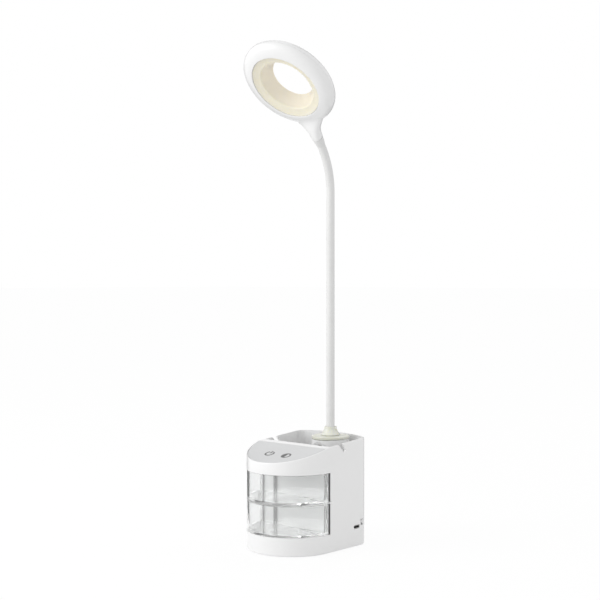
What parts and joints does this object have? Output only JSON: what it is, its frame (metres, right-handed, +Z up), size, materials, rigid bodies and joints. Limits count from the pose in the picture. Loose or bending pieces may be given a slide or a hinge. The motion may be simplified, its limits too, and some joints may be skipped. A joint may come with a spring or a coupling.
{
  "type": "led desk lamp",
  "caption": "Cordless LED desk lamp: D-shaped storage base with clear drawers, a pen well and a phone slot, a bendable silicone gooseneck and a ring-shaped head",
  "frame": {"origin": "on the table, under the middle of the lamp's outline seen from above", "axes": "+Z up, the round front with the drawers faces -Y, +X is the side with the charging socket"},
  "size_m": [0.108, 0.1275, 0.5009],
  "materials": {
    "white_plastic": "fine satin moulded white",
    "panel_white": "smooth pale grey touch panel",
    "clear_plastic": "clear moulded polystyrene",
    "cream_lens": "opal cream night-light lens",
    "opal_lit": "opal diffuser, lit warm",
    "silicone": "smooth white silicone sleeve",
    "rubber": "black rubber",
    "steel": "plain plated steel",
    "board_green": "green solder mask",
    "board_white": "white solder mask",
    "dark_plastic": "black moulded plastic",
    "cell_wrap": "blue heat-shrink wrap"
  },
  "bodies": {
    "base": {"base_housing": "white_plastic", "bottom_cover": "white_plastic", "cover_screw_1": "steel", "cover_screw_2": "steel", "cover_screw_3": "steel", "cover_screw_4": "steel", "foot_1": "rubber", "foot_2": "rubber", "foot_3": "rubber", "foot_4": "rubber", "ballast_plate": "steel", "battery_cell": "cell_wrap", "charging_board": "board_green", "charge_socket_shell": "steel", "charge_socket_tongue": "dark_plastic", "switch_body": "dark_plastic", "control_panel": "panel_white", "touch_board": "board_green", "tray_shelf": "clear_plastic", "night_light_board": "board_white", "night_light_lens": "cream_lens", "neck_socket": "cream_lens", "socket_nut": "steel", "gooseneck_root": "silicone"},
    "upper_tray": {"upper_tray": "clear_plastic"},
    "lower_tray": {"lower_tray": "clear_plastic"},
    "switch": {"switch_knob": "white_plastic"},
    "neck_1": {"gooseneck_link_1": "silicone"},
    "neck_2": {"gooseneck_link_2": "silicone"},
    "neck_3": {"gooseneck_link_3": "silicone"},
    "neck_4": {"gooseneck_link_4": "silicone"},
    "neck_5": {"gooseneck_link_5": "silicone"},
    "neck_6": {"gooseneck_link_6": "silicone"},
    "neck_7": {"gooseneck_link_7": "silicone"},
    "head": {"neck_ferrule": "silicone", "head_shell": "white_plastic", "head_bezel": "white_plastic", "inner_sleeve": "opal_lit", "diffuser_ring": "opal_lit", "led_board": "board_white"}
  },
  "joints": [
    {"name": "upper_tray_slide", "type": "slide", "parent": "base", "child": "upper_tray", "axis": [0, -1, 0], "range_m": [0, 0.034]},
    {"name": "lower_tray_slide", "type": "slide", "parent": "base", "child": "lower_tray", "axis": [0, -1, 0], "range_m": [0, 0.034]},
    {"name": "switch_slide", "type": "slide", "parent": "base", "child": "switch", "axis": [0, 0, 1], "range_m": [-0.002, 0]},
    {"name": "neck_bend_1", "type": "hinge", "parent": "base", "child": "neck_1", "pos_m": [0.00395, 0.03702, 0.133], "axis": [1, 0, 0], "range_deg": [-18, 18]},
    {"name": "neck_lean_1", "type": "hinge", "parent": "neck_1", "child": "neck_2", "pos_m": [0.00395, 0.03702, 0.179], "axis": [0, 1, 0], "range_deg": [-20, 20]},
    {"name": "neck_bend_2", "type": "hinge", "parent": "neck_2", "child": "neck_3", "pos_m": [0.00395, 0.03702, 0.225], "axis": [1, 0, 0], "range_deg": [-18, 18]},
    {"name": "neck_lean_2", "type": "hinge", "parent": "neck_3", "child": "neck_4", "pos_m": [0.00395, 0.03702, 0.271], "axis": [0, 1, 0], "range_deg": [-20, 20]},
    {"name": "neck_bend_3", "type": "hinge", "parent": "neck_4", "child": "neck_5", "pos_m": [0.00395, 0.03702, 0.317], "axis": [1, 0, 0], "range_deg": [-22, 22]},
    {"name": "neck_bend_4", "type": "hinge", "parent": "neck_5", "child": "neck_6", "pos_m": [0.00395, 0.03702, 0.355], "axis": [1, 0, 0], "range_deg": [-22, 22]},
    {"name": "neck_bend_5", "type": "hinge", "parent": "neck_6", "child": "neck_7", "pos_m": [0.00395, 0.03402, 0.38073], "axis": [1, 0, 0], "range_deg": [-22, 22]},
    {"name": "head_tilt", "type": "hinge", "parent": "neck_7", "child": "head", "pos_m": [0.00395, 0.0234, 0.40435], "axis": [1, 0, 0], "range_deg": [-25, 35]}
  ],
  "couplings": [
    {"joint": "neck_bend_2", "follows": "neck_bend_1", "ratio": 1},
    {"joint": "neck_lean_2", "follows": "neck_lean_1", "ratio": 1},
    {"joint": "neck_bend_4", "follows": "neck_bend_3", "ratio": 1},
    {"joint": "neck_bend_5", "follows": "neck_bend_3", "ratio": 1}
  ]
}
